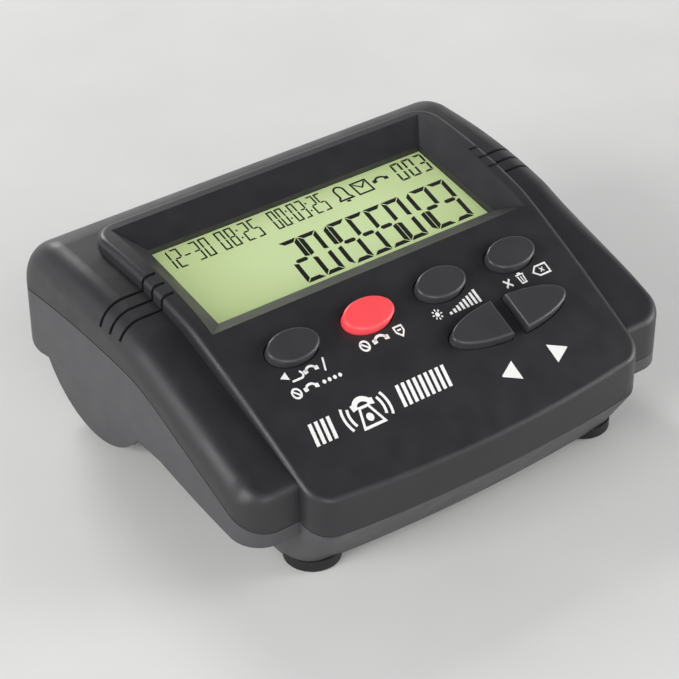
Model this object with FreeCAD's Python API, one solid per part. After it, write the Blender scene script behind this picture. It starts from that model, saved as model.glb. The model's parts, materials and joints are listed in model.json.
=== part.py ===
import FreeCAD, Part
import math
import os

V = FreeCAD.Vector

# ---------------------------------------------------------------- driving dimensions (mm, degrees)
# Frame: +X to the right, +Y to the back, +Z up; origin under the middle of the overall box.
WIDTH = 114.0               # over both wings
DEPTH = 97.4                # front bow of the console to the back of the case
HEIGHT = 48.2               # feet to the crest of the console
WALL = 2.0                  # moulded wall of both covers
FIT = 0.3                   # clearance round keys and between loose pieces
SEAM = 0.3                  # visible groove between the covers

# console: the raised band that carries the display and the keys
WING_W = 10.4               # case side to console side, at the back
CONSOLE_TAPER = 2.0         # console half width lost from back to front
CONSOLE_BOW = 2.6           # how far the front wall bows out at the middle
CONSOLE_BACK_GAP = 14.0     # from the back of the console to the back of the case
CONSOLE_CORNER_R = 6.0
CONSOLE_EDGE_R = 1.6
RIM_LEVEL = 3.7             # level stretch of the crest at the console's back
HOOD_R, HOOD_SLOPE = 132.0, 14.5
BEND_R, BEND_SLOPE = 25.0, 22.6
PANEL_R = 400.0

# wings: the lower shoulders on both sides
WING_DROP = 3.1             # crest of the console to crest of the wings
WING_SETBACK = 8.1          # front of the console to front of the wings
WING_HOOD_R, WING_HOOD_SLOPE = 130.0, 13.0
WING_BEND_R, WING_BEND_SLOPE = 25.0, 20.8
WING_PANEL_R = 1500.0
WING_CORNER_R = 7.0
SHOULDER_R = 6.0
WING_FRONT_EDGE_R = 2.2
REAR_TOP_R = 12.0
REAR_LOW_R = 8.0

# side strips of the bottom cover, under the wings: lower edge from back to front
STRIP_REAR_Z, STRIP_TOP_Z, STRIP_MID_Z, STRIP_LOW_Z, STRIP_FRONT_Z = 17.0, 19.3, 18.2, 14.6, 12.6
STRIP_TOP_BACK, STRIP_MID_BACK = 26.7, 48.7     # from the back of the case
STRIP_LOW_FRONT = 28.7      # from the front of the console

# belly lobe at the back and the pod under the console's front
BELLY_INSET = 4.2
BELLY_R = 22.2
BELLY_BACK_GAP = 0.2        # back of the lobe to the back of the case
BELLY_LIFT = 1.0            # lobe to the ground
ARCH_Z = 10.2
ARCH_FRONT = 6.6            # front of the wings to the front of the arch plate
BELLY_INTO, ARCH_INTO = 8.0, 11.0   # how far lobe and plate reach up into the wings
POD_UNDERCUT = 6.6
POD_SIDE_DRAFT = 0.8
POD_LENGTH = 14.1           # flat underside, front to back
POD_LIFT = 2.0              # pod to the ground
POD_REACH = 10.0            # how far the pod runs behind the seam's bend
POD_BRIDGE, BRIDGE_IN = 8.0, 0.5    # inner block that joins the pod to the console

# seam between the covers, seen from the side: straight front, bend, crowned back
SEAM_FRONT_SLOPE = 22.3
SEAM_BEND_R = 40.0
SEAM_TOP_SLOPE = 4.0
SEAM_CROWN_R = 244.0
SEAM_BEND_BACK = 43.3       # bend to the back of the case
SEAM_BEND_Z = 32.8

# feet
FOOT_R = 6.25
FOOT_X = 37.6
FOOT_FRONT, FOOT_BACK = 13.7, 22.4      # foot centre to the front and to the back of the case
FOOT_SEAT = 0.8             # front feet sink this far into the pod
REAR_FOOT_H = 2.0
FOOT_EDGE_R = 0.5

# grooves across the wings and the console's edges
GROOVES = 3
GROOVE_PITCH = 3.5
GROOVE_BACK = 35.5          # hindmost groove to the back of the case
GROOVE_W, GROOVE_DEEP = 0.8, 0.7
GROOVE_IN = 14.3            # inner end, from the side of the case
GROOVE_DOWN = 9.2           # lower end, from the crest of the console

# display window and the sloping hollow round it
WINDOW_HALF = 37.3
WINDOW_LENGTH = 26.9
WINDOW_TILT = 9.4
WINDOW_SINK = 5.18          # crest to window at the window's front edge
HOLLOW_SIDE = 4.9           # window side to mouth side
HOLLOW_FRONT = 5.3          # mouth front to window front
HOLLOW_BACK = 3.3           # mouth back to console back
HOLLOW_LENGTH = 38.5
HOLLOW_WALL = 2.2
STEP_H, STEP_OUT = 1.3, 0.05     # steep step between window and sloping walls

# keys, in the frame of the key plane
KEY_PLANE_BACK = 15.4       # mouth front to the key plane's origin
KEY_SLOPE = 25.0
KEY_ROW_X, KEY_ROW_V = 0.45, 6.7   # middle of the row of four
ARROW_ROW_V = -6.6
KEY_PITCH = 19.6
KEY_A, KEY_B = 6.3, 3.9
ARROW_MID_X = 19.6
ARROW_A, ARROW_B = 15.7, 4.75
ARROW_GAP = 4.0
KEY_PROUD = 2.2
KEY_TRAVEL = 1.0
KEY_EDGE_R = 0.7
KEY_FLANGE, KEY_FLANGE_T = 1.0, 1.0
FLANGE_GAP = 0.35           # flange to the panel's underside
PLUNGER_R, PLUNGER_H = 2.5, 2.6
PLUNGER_SHARE = 0.38        # how far along an arrow key its plunger stands
PILL_R, PILL_H = 1.8, 0.4
MAT_T, BOARD_T = 0.8, 1.6
PRESS_GAP = 0.15            # pill to board with a key fully down
KEY_BOARD_HALF, KEY_BOARD_V0, KEY_BOARD_V1 = 41.5, -13.0, 11.5
KEY_POSTS = ((-38.2, 0.0), (0.0, 0.0), (38.2, 0.0), (-19.3, -7.5))

# display stack, below the window plane
GASKET_T, WINDOW_T, GLASS_T, FILM_T = 0.4, 1.0, 2.0, 0.3
GASKET_IN = 0.3             # gasket edge to the window opening
WINDOW_LAP = 1.0            # window past the opening on each side
GLASS_IN = 0.5              # glass edge inside the window edge
HOLDER_DEEP, HOLDER_W, HOLDER_FIT = 6.0, 1.2, 0.1
STRIP_W, STRIP_IN = 1.8, 0.8    # elastomer strips along the glass
SHELF_W = 1.6
DISPLAY_POST_R = 2.0
DISPLAY_POST_IN = 2.5       # post to the window's front and back edge
DOME_R, DOME_H = 6.0, 1.0

# line board and rear sockets
LINE_BOARD_Z = 18.0
LINE_BOARD_HALF, LINE_BOARD_LENGTH, LINE_BOARD_BACK = 38.0, 51.0, 5.7
LINE_POST_IN = 4.0
SOCKET_W, SOCKET_H, SOCKET_D = 14.0, 12.0, 16.0
SOCKET_X = 14.0
SOCKET_BACK = 0.8           # socket to the inside of the back wall
PLUG_W, PLUG_H, PLUG_DEEP = 9.9, 7.2, 12.5
PLUG_FLOOR = 2.4            # board to the plug opening
LATCH_W, LATCH_H = 3.2, 1.2
CONTACTS, CONTACT_PITCH, CONTACT_T = 4, 1.02, 0.45
CONTACT_RUN, CONTACT_DROP = 8.0, 2.6    # spring wire, back to front and downwards

# screws: case screws from below, small screws for boards
CASE_R, CASE_HEAD_R, CASE_HEAD_H, CASE_L = 1.2, 2.6, 1.9, 10.0
CASE_POST_R, CASE_HOLE_R, CASE_POCKET_R, CASE_POCKET_W = 3.4, 1.6, 3.0, 1.3
REAR_SCREW = (8.8, 24.7, 16.0, 20.0)    # from the side, from the back, head seat, joint plane
FRONT_SCREW = (7.5, 20.7, 16.4, 19.6)   # from the side, from the front, head seat, joint plane
SMALL_R, SMALL_HEAD_R, SMALL_HEAD_H, SMALL_L = 0.9, 1.8, 1.2, 5.0
SMALL_HOLE_R, POST_R = 1.1, 2.3
THREAD_SPARE = 0.6          # screw tip to the end of its hole
SLOT_W, SLOT_DEEP = 0.7, 0.8    # cross in the screw heads
SMALL_SLOT_IN, CASE_SLOT_IN = 0.5, 0.8  # cross to the head's edge

# rating plate, left blank, on the arch
LABEL_W, LABEL_L, LABEL_T = 44.0, 16.0, 0.2
LABEL_BACK = 26.0           # from the front of the wings



# ---------------------------------------------------------------- outline helpers
def yz(y, z):
    return V(0, y, z)


def wire_of(start, steps):
    """Closed side outline in the YZ plane: a step is an end point, or a middle and an end point of an arc."""
    edges = []
    here = yz(*start)
    for step in steps + [start]:
        if isinstance(step[0], tuple):
            end = yz(*step[1])
            edges.append(Part.Arc(here, yz(*step[0]), end).toShape())
        else:
            end = yz(*step)
            if end.distanceToPoint(here) < 1e-6:
                continue
            edges.append(Part.LineSegment(here, end).toShape())
        here = end
    return Part.Wire(edges)


def prism_x(wire, half, inset=0.0):
    """Side outline carried across the case, shrunk by inset on every side."""
    face = Part.Face(wire)
    if inset:
        face = Part.Face(wire.makeOffset2D(-inset))
    face.translate(V(inset - half, 0, 0))
    return face.extrude(V(2 * (half - inset), 0, 0))


def slope_arc(end, radius, slope_end, slope_start):
    """Crown arc ending at end; returns its start and middle, slopes in degrees, both falling to the front."""
    a, b = math.radians(slope_start), math.radians(slope_end)
    centre = (end[0] + radius * math.sin(b), end[1] - radius * math.cos(b))
    at = lambda t: (centre[0] - radius * math.sin(t), centre[1] + radius * math.cos(t))
    return at(a), at((a + b) / 2)


def crest_curve(front_y, rim_z, hood_r, hood_slope, bend_r, bend_slope, panel_r):
    """Points of a crest from its front edge to the level rim: panel arc, tight bend, long hood arc."""
    rim = (RIM_Y, rim_z)
    hood_start, hood_mid = slope_arc(rim, hood_r, 0.0, hood_slope)
    bend_start, bend_mid = slope_arc(hood_start, bend_r, hood_slope, bend_slope)
    front_slope = math.degrees(math.asin(math.sin(math.radians(bend_slope)) + (bend_start[0] - front_y) / panel_r))
    front, panel_mid = slope_arc(bend_start, panel_r, bend_slope, front_slope)
    return front, [(panel_mid, bend_start), (bend_mid, hood_start), (hood_mid, rim)]


FRONT_Y, REAR_Y = -DEPTH / 2, DEPTH / 2
HALF = WIDTH / 2
WING_FRONT_Y = FRONT_Y + WING_SETBACK
WING_TOP_Z = HEIGHT - WING_DROP
CONSOLE_REAR_Y = REAR_Y - CONSOLE_BACK_GAP
CONSOLE_REAR_HALF = HALF - WING_W
CONSOLE_FRONT_HALF = CONSOLE_REAR_HALF - CONSOLE_TAPER
RIM_Y = CONSOLE_REAR_Y - RIM_LEVEL
TALL = HEIGHT + 12.0        # taller than anything, for through cuts
BELOW = -5.0
CREST = crest_curve(FRONT_Y, HEIGHT, HOOD_R, HOOD_SLOPE, BEND_R, BEND_SLOPE, PANEL_R)
WING_CREST = crest_curve(WING_FRONT_Y, WING_TOP_Z, WING_HOOD_R, WING_HOOD_SLOPE,
                         WING_BEND_R, WING_BEND_SLOPE, WING_PANEL_R)

SEAM_BEND = (REAR_Y - SEAM_BEND_BACK, SEAM_BEND_Z)
SEAM_START, SEAM_MID = slope_arc(SEAM_BEND, SEAM_BEND_R, SEAM_TOP_SLOPE, SEAM_FRONT_SLOPE)


def seam_z(y):
    """Height of the seam in front of its bend."""
    return SEAM_START[1] - math.tan(math.radians(SEAM_FRONT_SLOPE)) * (SEAM_START[0] - y)


SEAM_LOW_Z = seam_z(FRONT_Y) + SEAM     # where the console's front wall turns inwards


def crown_z(point, slope, radius, y):
    """Height at y of the crown arc that passes a point at a slope in degrees."""
    centre_y = point[0] + radius * math.sin(math.radians(slope))
    centre_z = point[1] - radius * math.cos(math.radians(slope))
    return centre_z + math.sqrt(radius ** 2 - (y - centre_y) ** 2)


def crest_z(y):
    """Height of the console's crest at y."""
    bend_start, hood_start, rim = (step[1] for step in CREST[1])
    if y < bend_start[0]:
        return crown_z(bend_start, BEND_SLOPE, PANEL_R, y)
    if y < hood_start[0]:
        return crown_z(hood_start, HOOD_SLOPE, BEND_R, y)
    if y < rim[0]:
        return crown_z(rim, 0.0, HOOD_R, y)
    return HEIGHT


def tilted(y, z, slope):
    """Plane frame across the case: local x across, local y up the slope, local z out of the face."""
    return FreeCAD.Placement(V(0, y, z), FreeCAD.Rotation(V(1, 0, 0), slope))


HOLLOW_REAR_Y = CONSOLE_REAR_Y - HOLLOW_BACK
HOLLOW_FRONT_Y = HOLLOW_REAR_Y - HOLLOW_LENGTH
WINDOW_Y = HOLLOW_FRONT_Y + HOLLOW_FRONT
WINDOW_PLANE = tilted(WINDOW_Y, crest_z(WINDOW_Y) - WINDOW_SINK, WINDOW_TILT)
KEY_Y = HOLLOW_FRONT_Y - KEY_PLANE_BACK
KEY_PLANE = tilted(KEY_Y, crest_z(KEY_Y), KEY_SLOPE)


# ---------------------------------------------------------------- small solids
def box(x0, x1, y0, y1, z0, z1):
    return Part.makeBox(x1 - x0, y1 - y0, z1 - z0, V(x0, y0, z0))


def rod(x, y, radius, z0, z1):
    return Part.makeCylinder(radius, z1 - z0, V(x, y, z0))


def on_plane(shape, plane):
    moved = shape.copy()
    moved.Placement = plane.multiply(moved.Placement)
    return moved


def both_sides(shape):
    return [shape, shape.mirror(V(0, 0, 0), V(1, 0, 0))]


def fuse_all(shapes):
    return shapes[0].multiFuse(shapes[1:]) if len(shapes) > 1 else shapes[0]


# ---------------------------------------------------------------- outer forms, each shrunk by inset for the cavity
def seam_form(drop=0.0):
    """Everything above the seam between the covers; drop lowers the seam."""
    ahead, behind = FRONT_Y - 5, REAR_Y + 5
    lower = lambda point: (point[0], point[1] - drop)
    crown = lambda y: (y, crown_z(SEAM_BEND, SEAM_TOP_SLOPE, SEAM_CROWN_R, y) - drop)
    steps = [lower(SEAM_START), (lower(SEAM_MID), lower(SEAM_BEND)),
             (crown((SEAM_BEND[0] + behind) / 2), crown(behind)), (behind, TALL), (ahead, TALL)]
    return prism_x(wire_of((ahead, seam_z(ahead) - drop), steps), HALF + 5)


def plan_prism(inset, z0, z1):
    """Bowed plan outline of the console carried upwards, with rounded corners."""
    front_half, rear_half = CONSOLE_FRONT_HALF - inset, CONSOLE_REAR_HALF - inset
    front_y, rear_y = FRONT_Y + inset, CONSOLE_REAR_Y - inset
    left, right = V(-front_half, front_y + CONSOLE_BOW, z0), V(front_half, front_y + CONSOLE_BOW, z0)
    back_right, back_left = V(rear_half, rear_y, z0), V(-rear_half, rear_y, z0)
    edges = [Part.Arc(left, V(0, front_y, z0), right).toShape()]
    for start, end in ((right, back_right), (back_right, back_left), (back_left, left)):
        edges.append(Part.LineSegment(start, end).toShape())
    prism = Part.Face(Part.Wire(edges)).extrude(V(0, 0, z1 - z0))
    return prism.makeFillet(CONSOLE_CORNER_R - inset, upright_edges(prism))


def middle(edge):
    return edge.valueAt((edge.FirstParameter + edge.LastParameter) / 2)


def upright_edges(shape, keep=lambda point: True):
    """Edges that run mainly up and down, chosen by a test on the point halfway between their ends."""
    chosen = []
    for edge in shape.Edges:
        start, end = edge.Vertexes[0].Point, edge.Vertexes[-1].Point
        if abs(end.z - start.z) > 0.7 * (end - start).Length > 1.0 and keep((start + end) * 0.5):
            chosen.append(edge)
    return chosen


def looks_up(shape, edge):
    """Whether no face at an edge looks downwards, so the edge isn't on the seam."""
    for face in shape.Faces:
        if any(edge.isSame(other) for other in face.Edges):
            u0, u1, v0, v1 = face.ParameterRange
            if face.normalAt((u0 + u1) / 2, (v0 + v1) / 2).z < -0.2:
                return False
    return True


def varied_fillet(shape, radii):
    """Fillet whose radius may change along an edge: radii holds edge number, first and last radius."""
    doc = FreeCAD.newDocument("rounding")
    base = doc.addObject("Part::Feature", "base")
    base.Shape = shape
    fillet = doc.addObject("Part::Fillet", "fillet")
    fillet.Base = base
    fillet.Edges = radii
    doc.recompute()
    result = fillet.Shape.copy()
    FreeCAD.closeDocument(doc.Name)
    return result


def console_form(inset):
    front, crest = CREST
    steps = crest + [(CONSOLE_REAR_Y, HEIGHT), (CONSOLE_REAR_Y, SEAM_BEND_Z - WALL),
                     (WING_FRONT_Y + POD_BRIDGE, SEAM_LOW_Z), (FRONT_Y, SEAM_LOW_Z)]
    body = prism_x(wire_of(front, steps), HALF, inset).common(plan_prism(inset, 0.0, TALL))
    if inset:
        return body
    top = body.common(seam_form())
    rim = []
    for edge in top.Edges:
        m = middle(edge)
        beside = abs(m.x) > CONSOLE_FRONT_HALF - CONSOLE_CORNER_R
        on_wall = beside or m.y < FRONT_Y + 1 or m.y > CONSOLE_REAR_Y - 1
        level = abs(edge.Vertexes[0].Z - edge.Vertexes[-1].Z) < 0.8 * edge.Length
        if on_wall and level and looks_up(top, edge):
            rim.append(edge)
    return top.makeFillet(CONSOLE_EDGE_R, rim).fuse(body.cut(seam_form()))


def wing_form(inset):
    """Both wings in one wide form: rounded shoulders above the seam, plain strips below it."""
    front, crest = WING_CREST
    top_y, top_z = REAR_Y - REAR_TOP_R, WING_TOP_Z - REAR_TOP_R
    low_y, low_z = REAR_Y - REAR_LOW_R, STRIP_REAR_Z + REAR_LOW_R
    eighth = math.sqrt(0.5)
    steps = crest + [(top_y, WING_TOP_Z),
                     ((top_y + REAR_TOP_R * eighth, top_z + REAR_TOP_R * eighth), (REAR_Y, top_z)),
                     (REAR_Y, low_z),
                     ((low_y + REAR_LOW_R * eighth, low_z - REAR_LOW_R * eighth), (low_y, STRIP_REAR_Z)),
                     ((REAR_Y - STRIP_TOP_BACK, STRIP_TOP_Z), (REAR_Y - STRIP_MID_BACK, STRIP_MID_Z)),
                     ((FRONT_Y + STRIP_LOW_FRONT, STRIP_LOW_Z), (WING_FRONT_Y, STRIP_FRONT_Z))]
    side = prism_x(wire_of(front, steps), HALF, inset)
    plan = box(inset - HALF, HALF - inset, WING_FRONT_Y + inset, REAR_Y - inset, 0, TALL)
    plan = plan.makeFillet(WING_CORNER_R - inset, upright_edges(plan, lambda point: point.y < 0))
    rounded = plan.makeFillet(SHOULDER_R - inset, upright_edges(plan, lambda point: point.y > REAR_Y - inset - 0.1))
    top = side.common(plan).common(seam_form())
    wide, tight = SHOULDER_R - inset, max(WING_FRONT_EDGE_R - inset, 0.2)
    radii = []
    for number, edge in enumerate(top.Edges, 1):
        m, start, end = middle(edge), edge.Vertexes[0].Point, edge.Vertexes[-1].Point
        across = abs(start.x - end.x)
        at_side = abs(abs(m.x) - HALF + inset) < 1e-3 and across < 1e-3
        at_front = abs(m.y - WING_FRONT_Y - inset) < 1e-3 and abs(start.z - end.z) < 0.1
        at_corner = m.y < WING_FRONT_Y + WING_CORNER_R and across > 2 and not at_front
        if m.z < front[1] - WING_CORNER_R or not looks_up(top, edge):
            continue
        if at_side:
            radii.append((number, wide, wide))
        elif at_front:
            radii.append((number, tight, tight))
        elif at_corner:
            from_side = abs(abs(edge.valueAt(edge.FirstParameter).x) - HALF + inset) < 0.01
            radii.append((number, wide, tight) if from_side else (number, tight, wide))
    return varied_fillet(top, radii).fuse(side.common(rounded).cut(seam_form()))


def belly_form(inset):
    """Round lobe under the back and the flat arch plate in front of it."""
    cy, cz = REAR_Y - BELLY_R - BELLY_BACK_GAP, BELLY_LIFT + BELLY_R
    arch_y = cy - math.sqrt(BELLY_R ** 2 - (cz - ARCH_Z) ** 2)
    plate_y = WING_FRONT_Y + ARCH_FRONT
    steps = [((cy, BELLY_LIFT), (cy + BELLY_R, cz)), (cy + BELLY_R, cz + BELLY_INTO),
             (plate_y, ARCH_Z + ARCH_INTO), (plate_y, ARCH_Z)]
    return prism_x(wire_of((arch_y, ARCH_Z), steps), HALF - BELLY_INSET, inset)


def pod_form(inset):
    """Front pod: its walls lean inwards below the seam, its underside rises to the arch."""
    front_y = FRONT_Y + inset
    meet_y = SEAM_BEND[0] + POD_REACH

    def ring(z, shift, draft):
        front_half, rear_half = CONSOLE_FRONT_HALF - inset - draft, CONSOLE_REAR_HALF - inset - draft
        left, right = V(-front_half, front_y + CONSOLE_BOW + shift, z), V(front_half, front_y + CONSOLE_BOW + shift, z)
        back_right, back_left = V(rear_half, meet_y, z), V(-rear_half, meet_y, z)
        edges = [Part.Arc(left, V(0, front_y + shift, z), right).toShape()]
        for start, end in ((right, back_right), (back_right, back_left), (back_left, left)):
            edges.append(Part.LineSegment(start, end).toShape())
        return Part.Wire(edges)

    body = Part.makeLoft([ring(POD_LIFT, POD_UNDERCUT, POD_SIDE_DRAFT), ring(SEAM_LOW_Z, 0.0, 0.0)], True, True)
    body = body.makeFillet(CONSOLE_CORNER_R - inset, upright_edges(body, lambda point: point.y < 0))
    upper = plan_prism(inset + BRIDGE_IN, SEAM_LOW_Z - BRIDGE_IN, SEAM_LOW_Z + POD_BRIDGE)
    low, back_y = POD_LIFT + inset, FRONT_Y + POD_UNDERCUT + POD_LENGTH - inset
    rise = ARCH_Z - POD_LIFT
    steps = [((back_y + rise * 0.9, low + rise * 0.35), (back_y + rise * 1.6, low + rise)),
             (meet_y, SEAM_LOW_Z + POD_BRIDGE), (FRONT_Y, SEAM_LOW_Z + POD_BRIDGE), (FRONT_Y, low)]
    return body.fuse(upper).common(prism_x(wire_of((back_y, low), steps), HALF))


def case_form(inset):
    forms = [form(inset) for form in (console_form, wing_form, belly_form, pod_form)]
    return fuse_all(forms).removeSplitter()


# ---------------------------------------------------------------- display hollow
def ring_wire(points):
    edges = [Part.LineSegment(p, q).toShape() for p, q in zip(points, points[1:] + points[:1])]
    return Part.Wire(edges)


def hollow_form(grow):
    """Space of the display hollow above the window, or with grow its outer walls."""
    def level(out, height):
        half, low, high = WINDOW_HALF + grow + out, -grow - out, WINDOW_LENGTH + grow + out
        corners = ((-half, low), (half, low), (half, high), (-half, high))
        return [WINDOW_PLANE.multVec(V(x, y, height)) for x, y in corners]

    beyond = 1.35           # the walls run on past the crest
    step = level(STEP_OUT, STEP_H)
    mouth_half = WINDOW_HALF + HOLLOW_SIDE + grow
    side = []
    for number in range(9):
        share = number / 8
        foot = step[1] + (step[2] - step[1]) * share
        y = HOLLOW_FRONT_Y - grow + (HOLLOW_LENGTH + 2 * grow) * share
        side.append(foot + (V(mouth_half, y, crest_z(y)) - foot) * beyond)
    near, far = side[0], side[-1]
    shares = [number / 8 for number in range(9)]
    right, left = Part.BSplineCurve(), Part.BSplineCurve()
    right.interpolate(Points=side, Parameters=shares)
    left.interpolate(Points=[V(-p.x, p.y, p.z) for p in reversed(side)], Parameters=shares)
    mouth = Part.Wire([Part.LineSegment(V(-near.x, near.y, near.z), near).toShape(), right.toShape(),
                       Part.LineSegment(far, V(-far.x, far.y, far.z)).toShape(), left.toShape()])
    lid = [V(x, y, TALL) for x, y in ((-near.x, near.y), (near.x, near.y), (far.x, far.y), (-far.x, far.y))]
    return Part.makeLoft([ring_wire(level(0.0, 0.0)), ring_wire(step), mouth, ring_wire(lid)], True, True)


# ---------------------------------------------------------------- keys
N_FLANGE = -(WALL + FLANGE_GAP)
N_PLUNGER = N_FLANGE - KEY_FLANGE_T
N_PILL = N_PLUNGER - PLUNGER_H
N_BOARD = N_PILL - PILL_H - KEY_TRAVEL - PRESS_GAP
OVAL_KEYS = {"back": -1.5, "block": -0.5, "bright": 0.5, "delete": 1.5}
ARROW_KEYS = {"left": -1, "right": 1}


def oval(u, v, a, b, n0, n1):
    ring = Part.Wire(Part.Ellipse(V(u, v, n0), a, b).toShape())
    return Part.Face(ring).extrude(V(0, 0, n1 - n0))


def key_blank(name, grow, n0, n1):
    """Key outline, grown all round, between two heights in the key plane's frame."""
    if name in OVAL_KEYS:
        return oval(*key_centre(name), KEY_A + grow, KEY_B + grow, n0, n1)
    whole = oval(ARROW_MID_X, ARROW_ROW_V, ARROW_A + grow, ARROW_B + grow, n0, n1)
    near, far = ARROW_GAP / 2 - grow, ARROW_A + 5
    sides = {"left": (-far, -near), "right": (near, far)}[name]
    return whole.common(box(ARROW_MID_X + sides[0], ARROW_MID_X + sides[1],
                            ARROW_ROW_V - far, ARROW_ROW_V + far, n0, n1))


def key_centre(name):
    if name in OVAL_KEYS:
        return KEY_ROW_X + OVAL_KEYS[name] * KEY_PITCH, KEY_ROW_V
    return ARROW_MID_X + ARROW_KEYS[name] * (ARROW_A + ARROW_GAP) * PLUNGER_SHARE, ARROW_ROW_V


def make_key(name):
    cap = key_blank(name, 0.0, N_FLANGE, KEY_PROUD)
    rim = [edge for edge in cap.Edges if edge.BoundBox.ZMin > KEY_PROUD - 1e-6]
    cap = cap.makeFillet(KEY_EDGE_R, rim)
    flange = key_blank(name, KEY_FLANGE, N_PLUNGER, N_FLANGE)
    save("key_" + name, on_plane(cap.fuse(flange).removeSplitter(), KEY_PLANE))
    u, v = key_centre(name)
    save("plunger_" + name, on_plane(rod(u, v, PLUNGER_R, N_PILL, N_PLUNGER), KEY_PLANE))
    save("pill_" + name, on_plane(rod(u, v, PILL_R, N_PILL - PILL_H, N_PILL), KEY_PLANE))


def plane_screw(u, v, n, into):
    """Small screw with its head's bearing face at n; into is +1 where it is driven along +n."""
    head = rod(u, v, SMALL_HEAD_R, n - SMALL_HEAD_H, n) if into > 0 else rod(u, v, SMALL_HEAD_R, n, n + SMALL_HEAD_H)
    shank = rod(u, v, SMALL_R, n, n + SMALL_L) if into > 0 else rod(u, v, SMALL_R, n - SMALL_L, n)
    out = n - into * SMALL_HEAD_H
    floor = sorted((out, out + into * SLOT_DEEP))
    arm = SMALL_HEAD_R - SMALL_SLOT_IN
    cross = box(u - arm, u + arm, v - SLOT_W / 2, v + SLOT_W / 2, *floor)
    cross = cross.fuse(box(u - SLOT_W / 2, u + SLOT_W / 2, v - arm, v + arm, *floor))
    return head.fuse(shank).cut(cross)


def key_board_parts():
    half, v0, v1 = KEY_BOARD_HALF, KEY_BOARD_V0, KEY_BOARD_V1
    mat = box(-half, half, v0, v1, N_BOARD, N_BOARD + MAT_T)
    board = box(-half, half, v0, v1, N_BOARD - BOARD_T, N_BOARD)
    plunger_holes = []
    for name in list(OVAL_KEYS) + list(ARROW_KEYS):
        u, v = key_centre(name)
        plunger_holes.append(rod(u, v, PLUNGER_R + 2 * FIT, N_BOARD, N_BOARD + MAT_T))
    post_holes = [rod(u, v, POST_R + FIT, N_BOARD, N_BOARD + MAT_T) for u, v in KEY_POSTS]
    screw_holes = [rod(u, v, SMALL_HOLE_R, N_BOARD - BOARD_T, N_BOARD) for u, v in KEY_POSTS]
    save("key_mat", on_plane(mat.cut(fuse_all(plunger_holes + post_holes)), KEY_PLANE))
    save("key_board", on_plane(board.cut(fuse_all(screw_holes)), KEY_PLANE))
    return [on_plane(plane_screw(u, v, N_BOARD - BOARD_T, 1), KEY_PLANE) for u, v in KEY_POSTS]


# ---------------------------------------------------------------- display stack, in the window plane's frame
W_WINDOW = -GASKET_T
W_GLASS = W_WINDOW - WINDOW_T
W_FILM = W_GLASS - GLASS_T
W_BOARD = -HOLDER_DEEP
WINDOW_OUT = WINDOW_HALF + WINDOW_LAP
GLASS_OUT = WINDOW_OUT - GLASS_IN
HOLDER_IN = WINDOW_OUT + HOLDER_FIT
HOLDER_OUT = HOLDER_IN + HOLDER_W
DISPLAY_POST_U = HOLDER_OUT + DISPLAY_POST_R + FIT
DISPLAY_POSTS = [(side * DISPLAY_POST_U, s) for side in (-1, 1)
                 for s in (DISPLAY_POST_IN, WINDOW_LENGTH - DISPLAY_POST_IN)]
DISPLAY_BOARD_HALF = DISPLAY_POST_U + DISPLAY_POST_R


def sheet(half, w0, w1):
    """Centred sheet whose edges lie past the window opening by the same amount on all sides."""
    lap = half - WINDOW_HALF
    return box(-half, half, -lap, WINDOW_LENGTH + lap, w0, w1)


def display_parts():
    gasket = sheet(WINDOW_OUT, W_WINDOW, 0.0).cut(sheet(WINDOW_HALF + GASKET_IN, W_WINDOW, 0.0))
    save("window_gasket", on_plane(gasket, WINDOW_PLANE))
    save("display_window", on_plane(sheet(WINDOW_OUT, W_GLASS, W_WINDOW), WINDOW_PLANE))
    save("display_glass", on_plane(sheet(GLASS_OUT, W_FILM, W_GLASS), WINDOW_PLANE))
    film_in = STRIP_IN + STRIP_W + FIT - (GLASS_OUT - WINDOW_HALF)
    film_half = GLASS_OUT - SHELF_W
    film = box(-film_half, film_half, film_in, WINDOW_LENGTH - film_in, W_FILM - FILM_T, W_FILM)
    save("reflector_film", on_plane(film, WINDOW_PLANE))
    glass_front, glass_back = WINDOW_HALF - GLASS_OUT, WINDOW_LENGTH + GLASS_OUT - WINDOW_HALF
    strips = [box(-film_half, film_half, start, start + STRIP_W, W_BOARD, W_FILM)
              for start in (glass_front + STRIP_IN, glass_back - STRIP_IN - STRIP_W)]
    save("contact_strips", on_plane(Part.makeCompound(strips), WINDOW_PLANE))
    holder = sheet(HOLDER_OUT, W_BOARD, 0.0).cut(sheet(HOLDER_IN, W_BOARD, 0.0))
    shelf = box(film_half + FIT, HOLDER_IN, 0.0, WINDOW_LENGTH, W_BOARD, W_FILM)
    save("display_holder", on_plane(fuse_all([holder] + both_sides(shelf)), WINDOW_PLANE))
    lap = HOLDER_OUT - WINDOW_HALF
    board = box(-DISPLAY_BOARD_HALF, DISPLAY_BOARD_HALF, -lap, WINDOW_LENGTH + lap, W_BOARD - BOARD_T, W_BOARD)
    holes = [rod(u, s, SMALL_HOLE_R, W_BOARD - BOARD_T, W_BOARD) for u, s in DISPLAY_POSTS]
    save("display_board", on_plane(board.cut(fuse_all(holes)), WINDOW_PLANE))
    dome = rod(0.0, WINDOW_LENGTH / 2, DOME_R, W_BOARD - BOARD_T - DOME_H, W_BOARD - BOARD_T)
    save("display_chip", on_plane(dome, WINDOW_PLANE))
    return [on_plane(plane_screw(u, s, W_BOARD - BOARD_T, 1), WINDOW_PLANE) for u, s in DISPLAY_POSTS]


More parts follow.
